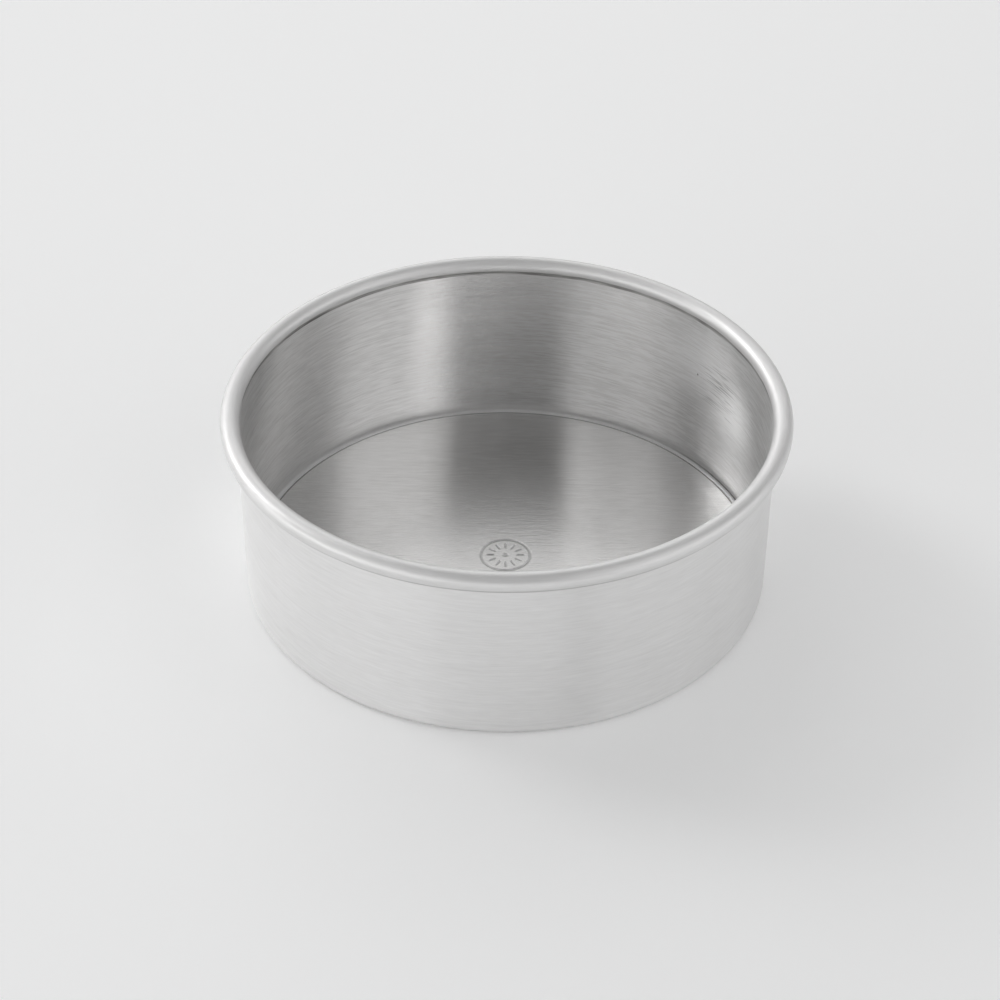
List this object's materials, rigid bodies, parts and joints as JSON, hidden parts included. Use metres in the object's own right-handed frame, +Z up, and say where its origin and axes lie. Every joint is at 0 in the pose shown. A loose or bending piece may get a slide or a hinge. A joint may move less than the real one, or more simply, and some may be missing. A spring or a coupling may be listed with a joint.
{
  "type": "round cake tin",
  "caption": "Shallow round cake tin of satin aluminium with a rolled rim, straight wall, inturned ledge and a loose base disc that pushes up and out.",
  "frame": {"origin": "centre of the tin's underside, on the surface it stands on", "axes": "+Z up along the axis of the tin; the tin is round, so +X and +Y only mark two sideways directions"},
  "size_m": [0.1604, 0.1604, 0.057],
  "materials": {
    "tin_aluminium": "satin, with fine marks running round the wall and the rim",
    "base_aluminium": "satin, with a straight rolled grain"
  },
  "bodies": {
    "tin": {"tin_body": "tin_aluminium"},
    "base": {"loose_base": "base_aluminium"}
  },
  "joints": [
    {"name": "base_lift", "type": "slide", "parent": "tin", "child": "base", "axis": [0, 0, 1], "range_m": [0, 0.0562]}
  ]
}
